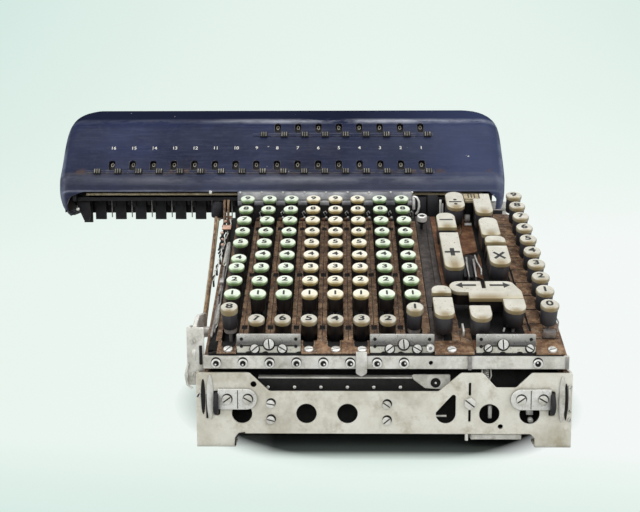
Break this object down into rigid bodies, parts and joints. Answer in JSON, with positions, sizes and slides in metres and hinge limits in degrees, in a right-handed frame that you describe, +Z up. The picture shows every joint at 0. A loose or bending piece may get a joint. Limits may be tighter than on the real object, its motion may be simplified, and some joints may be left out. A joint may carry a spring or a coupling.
{
  "type": "mechanical calculating machine",
  "caption": "Desktop key-driven calculating machine with its lower covers off: sloped keyboard, function keys, motor drive and a sliding dial carriage.",
  "frame": {"origin": "on the table, below the middle of the whole machine in plan, with the carriage as pictured, shifted to the left", "axes": "+X to the operator's right along the carriage, +Y away from the operator, +Z up"},
  "size_m": [0.4246, 0.3102, 0.2395],
  "materials": {
    "nickel_plate": "nickel-plated steel, dulled and speckled",
    "brown_steel": "brown mottled bronzed steel",
    "navy_enamel": "glossy worn navy enamel",
    "black_steel": "blackened steel",
    "link_steel": "steel with a brown tarnish",
    "dial_alloy": "black dial with white numerals",
    "motor_paint": "dark painted casting",
    "green_key": "pale green keytop on a black barrel",
    "cream_key": "cream keytop on a dark grey barrel"
  },
  "bodies": {
    "chassis": {"front_plate": "nickel_plate", "rear_plate": "nickel_plate", "left_frame": "nickel_plate", "right_frame": "nickel_plate", "front_rail": "nickel_plate", "digit_deck": "brown_steel", "function_deck": "brown_steel", "rear_key_plate": "nickel_plate", "side_link": "link_steel", "carriage_rail": "nickel_plate", "left_lug": "nickel_plate", "right_lug": "nickel_plate", "motor": "motor_paint"},
    "carriage": {"carriage_frame": "black_steel", "carriage_cover": "navy_enamel"},
    "lower_dials": {"lower_dials": "dial_alloy"},
    "upper_dials": {"upper_dials": "dial_alloy"},
    "lower_markers": {"lower_markers": "nickel_plate"},
    "upper_markers": {"upper_markers": "nickel_plate"},
    "drive_shaft": {"drive_shaft": "nickel_plate"},
    "motor_pinion": {"motor_pinion": "nickel_plate"},
    "shift_rocker": {"shift_rocker": "cream_key"},
    "digit_bank_1": {"digit_bank_1": "green_key"},
    "digit_bank_2": {"digit_bank_2": "green_key"},
    "digit_bank_3": {"digit_bank_3": "cream_key"},
    "digit_bank_4": {"digit_bank_4": "cream_key"},
    "digit_bank_5": {"digit_bank_5": "cream_key"},
    "digit_bank_6": {"digit_bank_6": "green_key"},
    "digit_bank_7": {"digit_bank_7": "green_key"},
    "digit_bank_8": {"digit_bank_8": "green_key"},
    "column_key_1": {"column_key_1": "cream_key"},
    "column_key_2": {"column_key_2": "cream_key"},
    "column_key_3": {"column_key_3": "cream_key"},
    "column_key_4": {"column_key_4": "cream_key"},
    "column_key_5": {"column_key_5": "cream_key"},
    "column_key_6": {"column_key_6": "cream_key"},
    "column_key_7": {"column_key_7": "cream_key"},
    "column_key_8": {"column_key_8": "cream_key"},
    "multiplier_key_0": {"multiplier_key_0": "cream_key"},
    "multiplier_key_1": {"multiplier_key_1": "cream_key"},
    "multiplier_key_2": {"multiplier_key_2": "cream_key"},
    "multiplier_key_3": {"multiplier_key_3": "cream_key"},
    "multiplier_key_4": {"multiplier_key_4": "cream_key"},
    "multiplier_key_5": {"multiplier_key_5": "cream_key"},
    "multiplier_key_6": {"multiplier_key_6": "cream_key"},
    "multiplier_key_7": {"multiplier_key_7": "cream_key"},
    "multiplier_key_8": {"multiplier_key_8": "cream_key"},
    "multiplier_key_9": {"multiplier_key_9": "cream_key"},
    "divide_key": {"divide_key": "cream_key"},
    "clear_key": {"clear_key": "cream_key"},
    "minus_key": {"minus_key": "cream_key"},
    "plus_key": {"plus_key": "cream_key"},
    "entry_key": {"entry_key": "cream_key"},
    "repeat_key": {"repeat_key": "cream_key"},
    "times_key": {"times_key": "cream_key"},
    "unlock_key": {"unlock_key": "cream_key"},
    "lock_key": {"lock_key": "cream_key"},
    "middle_dial_key": {"middle_dial_key": "cream_key"},
    "upper_dial_key": {"upper_dial_key": "cream_key"},
    "release_button": {"release_button": "cream_key"}
  },
  "joints": [
    {"name": "carriage_shift", "type": "slide", "parent": "chassis", "child": "carriage", "axis": [1, 0, 0], "range_m": [0, 0.13335]},
    {"name": "lower_dials_turn", "type": "hinge", "parent": "carriage", "child": "lower_dials", "pos_m": [0.0347, 0.10045, 0.18142], "axis": [1, 0, 0], "continuous": true},
    {"name": "upper_dials_turn", "type": "hinge", "parent": "carriage", "child": "upper_dials", "pos_m": [0.0347, 0.12126, 0.21499], "axis": [1, 0, 0], "continuous": true},
    {"name": "lower_markers_slide", "type": "slide", "parent": "carriage", "child": "lower_markers", "axis": [1, 0, 0], "range_m": [-0.006, 0.006]},
    {"name": "upper_markers_slide", "type": "slide", "parent": "carriage", "child": "upper_markers", "axis": [1, 0, 0], "range_m": [-0.006, 0.006]},
    {"name": "drive_shaft_spin", "type": "hinge", "parent": "chassis", "child": "drive_shaft", "pos_m": [0.0347, 0.0711, 0.062], "axis": [1, 0, 0], "continuous": true},
    {"name": "motor_pinion_spin", "type": "hinge", "parent": "chassis", "child": "motor_pinion", "pos_m": [0.0347, 0.1131, 0.062], "axis": [1, 0, 0], "continuous": true},
    {"name": "shift_rocker_tilt", "type": "hinge", "parent": "chassis", "child": "shift_rocker", "pos_m": [0.155, -0.09528, 0.0887], "axis": [0, 0.9239, 0.3827], "range_deg": [-4, 4], "stiffness_Nm_per_rad": 0.6},
    {"name": "digit_bank_1_press", "type": "slide", "parent": "chassis", "child": "digit_bank_1", "axis": [0, 0.3827, -0.9239], "range_m": [0, 0.004], "stiffness_N_per_m": 250, "springref_m": -0.005},
    {"name": "digit_bank_2_press", "type": "slide", "parent": "chassis", "child": "digit_bank_2", "axis": [0, 0.3827, -0.9239], "range_m": [0, 0.004], "stiffness_N_per_m": 250, "springref_m": -0.005},
    {"name": "digit_bank_3_press", "type": "slide", "parent": "chassis", "child": "digit_bank_3", "axis": [0, 0.3827, -0.9239], "range_m": [0, 0.004], "stiffness_N_per_m": 250, "springref_m": -0.005},
    {"name": "digit_bank_4_press", "type": "slide", "parent": "chassis", "child": "digit_bank_4", "axis": [0, 0.3827, -0.9239], "range_m": [0, 0.004], "stiffness_N_per_m": 250, "springref_m": -0.005},
    {"name": "digit_bank_5_press", "type": "slide", "parent": "chassis", "child": "digit_bank_5", "axis": [0, 0.3827, -0.9239], "range_m": [0, 0.004], "stiffness_N_per_m": 250, "springref_m": -0.005},
    {"name": "digit_bank_6_press", "type": "slide", "parent": "chassis", "child": "digit_bank_6", "axis": [0, 0.3827, -0.9239], "range_m": [0, 0.004], "stiffness_N_per_m": 250, "springref_m": -0.005},
    {"name": "digit_bank_7_press", "type": "slide", "parent": "chassis", "child": "digit_bank_7", "axis": [0, 0.3827, -0.9239], "range_m": [0, 0.004], "stiffness_N_per_m": 250, "springref_m": -0.005},
    {"name": "digit_bank_8_press", "type": "slide", "parent": "chassis", "child": "digit_bank_8", "axis": [0, 0.3827, -0.9239], "range_m": [0, 0.004], "stiffness_N_per_m": 250, "springref_m": -0.005},
    {"name": "column_key_1_press", "type": "slide", "parent": "chassis", "child": "column_key_1", "axis": [0, 0.3827, -0.9239], "range_m": [0, 0.004], "stiffness_N_per_m": 150, "springref_m": -0.005},
    {"name": "column_key_2_press", "type": "slide", "parent": "chassis", "child": "column_key_2", "axis": [0, 0.3827, -0.9239], "range_m": [0, 0.004], "stiffness_N_per_m": 150, "springref_m": -0.005},
    {"name": "column_key_3_press", "type": "slide", "parent": "chassis", "child": "column_key_3", "axis": [0, 0.3827, -0.9239], "range_m": [0, 0.004], "stiffness_N_per_m": 150, "springref_m": -0.005},
    {"name": "column_key_4_press", "type": "slide", "parent": "chassis", "child": "column_key_4", "axis": [0, 0.3827, -0.9239], "range_m": [0, 0.004], "stiffness_N_per_m": 150, "springref_m": -0.005},
    {"name": "column_key_5_press", "type": "slide", "parent": "chassis", "child": "column_key_5", "axis": [0, 0.3827, -0.9239], "range_m": [0, 0.004], "stiffness_N_per_m": 150, "springref_m": -0.005},
    {"name": "column_key_6_press", "type": "slide", "parent": "chassis", "child": "column_key_6", "axis": [0, 0.3827, -0.9239], "range_m": [0, 0.004], "stiffness_N_per_m": 150, "springref_m": -0.005},
    {"name": "column_key_7_press", "type": "slide", "parent": "chassis", "child": "column_key_7", "axis": [0, 0.3827, -0.9239], "range_m": [0, 0.004], "stiffness_N_per_m": 150, "springref_m": -0.005},
    {"name": "column_key_8_press", "type": "slide", "parent": "chassis", "child": "column_key_8", "axis": [0, 0.3827, -0.9239], "range_m": [0, 0.004], "stiffness_N_per_m": 150, "springref_m": -0.005},
    {"name": "multiplier_key_0_press", "type": "slide", "parent": "chassis", "child": "multiplier_key_0", "axis": [0, 0.3827, -0.9239], "range_m": [0, 0.004], "stiffness_N_per_m": 150, "springref_m": -0.005},
    {"name": "multiplier_key_1_press", "type": "slide", "parent": "chassis", "child": "multiplier_key_1", "axis": [0, 0.3827, -0.9239], "range_m": [0, 0.004], "stiffness_N_per_m": 150, "springref_m": -0.005},
    {"name": "multiplier_key_2_press", "type": "slide", "parent": "chassis", "child": "multiplier_key_2", "axis": [0, 0.3827, -0.9239], "range_m": [0, 0.004], "stiffness_N_per_m": 150, "springref_m": -0.005},
    {"name": "multiplier_key_3_press", "type": "slide", "parent": "chassis", "child": "multiplier_key_3", "axis": [0, 0.3827, -0.9239], "range_m": [0, 0.004], "stiffness_N_per_m": 150, "springref_m": -0.005},
    {"name": "multiplier_key_4_press", "type": "slide", "parent": "chassis", "child": "multiplier_key_4", "axis": [0, 0.3827, -0.9239], "range_m": [0, 0.004], "stiffness_N_per_m": 150, "springref_m": -0.005},
    {"name": "multiplier_key_5_press", "type": "slide", "parent": "chassis", "child": "multiplier_key_5", "axis": [0, 0.3827, -0.9239], "range_m": [0, 0.004], "stiffness_N_per_m": 150, "springref_m": -0.005},
    {"name": "multiplier_key_6_press", "type": "slide", "parent": "chassis", "child": "multiplier_key_6", "axis": [0, 0.3827, -0.9239], "range_m": [0, 0.004], "stiffness_N_per_m": 150, "springref_m": -0.005},
    {"name": "multiplier_key_7_press", "type": "slide", "parent": "chassis", "child": "multiplier_key_7", "axis": [0, 0.3827, -0.9239], "range_m": [0, 0.004], "stiffness_N_per_m": 150, "springref_m": -0.005},
    {"name": "multiplier_key_8_press", "type": "slide", "parent": "chassis", "child": "multiplier_key_8", "axis": [0, 0.3827, -0.9239], "range_m": [0, 0.004], "stiffness_N_per_m": 150, "springref_m": -0.005},
    {"name": "multiplier_key_9_press", "type": "slide", "parent": "chassis", "child": "multiplier_key_9", "axis": [0, 0.3827, -0.9239], "range_m": [0, 0.004], "stiffness_N_per_m": 150, "springref_m": -0.005},
    {"name": "divide_key_press", "type": "slide", "parent": "chassis", "child": "divide_key", "axis": [0, 0.3827, -0.9239], "range_m": [0, 0.004], "stiffness_N_per_m": 150, "springref_m": -0.005},
    {"name": "clear_key_press", "type": "slide", "parent": "chassis", "child": "clear_key", "axis": [0, 0.3827, -0.9239], "range_m": [0, 0.004], "stiffness_N_per_m": 150, "springref_m": -0.005},
    {"name": "minus_key_press", "type": "slide", "parent": "chassis", "child": "minus_key", "axis": [0, 0.3827, -0.9239], "range_m": [0, 0.004], "stiffness_N_per_m": 150, "springref_m": -0.005},
    {"name": "plus_key_press", "type": "slide", "parent": "chassis", "child": "plus_key", "axis": [0, 0.3827, -0.9239], "range_m": [0, 0.004], "stiffness_N_per_m": 150, "springref_m": -0.005},
    {"name": "entry_key_press", "type": "slide", "parent": "chassis", "child": "entry_key", "axis": [0, 0.3827, -0.9239], "range_m": [0, 0.004], "stiffness_N_per_m": 150, "springref_m": -0.005},
    {"name": "repeat_key_press", "type": "slide", "parent": "chassis", "child": "repeat_key", "axis": [0, 0.3827, -0.9239], "range_m": [0, 0.004], "stiffness_N_per_m": 150, "springref_m": -0.005},
    {"name": "times_key_press", "type": "slide", "parent": "chassis", "child": "times_key", "axis": [0, 0.3827, -0.9239], "range_m": [0, 0.004], "stiffness_N_per_m": 150, "springref_m": -0.005},
    {"name": "unlock_key_press", "type": "slide", "parent": "chassis", "child": "unlock_key", "axis": [0, 0.3827, -0.9239], "range_m": [0, 0.004], "stiffness_N_per_m": 150, "springref_m": -0.005},
    {"name": "lock_key_press", "type": "slide", "parent": "chassis", "child": "lock_key", "axis": [0, 0.3827, -0.9239], "range_m": [0, 0.004], "stiffness_N_per_m": 150, "springref_m": -0.005},
    {"name": "middle_dial_key_press", "type": "slide", "parent": "chassis", "child": "middle_dial_key", "axis": [0, 0.3827, -0.9239], "range_m": [0, 0.004], "stiffness_N_per_m": 150, "springref_m": -0.005},
    {"name": "upper_dial_key_press", "type": "slide", "parent": "chassis", "child": "upper_dial_key", "axis": [0, 0.3827, -0.9239], "range_m": [0, 0.004], "stiffness_N_per_m": 150, "springref_m": -0.005},
    {"name": "release_button_press", "type": "slide", "parent": "chassis", "child": "release_button", "axis": [0, 0.3827, -0.9239], "range_m": [0, 0.004], "stiffness_N_per_m": 150, "springref_m": -0.005}
  ],
  "couplings": [
    {"joint": "motor_pinion_spin", "follows": "drive_shaft_spin", "ratio": -2.5}
  ]
}
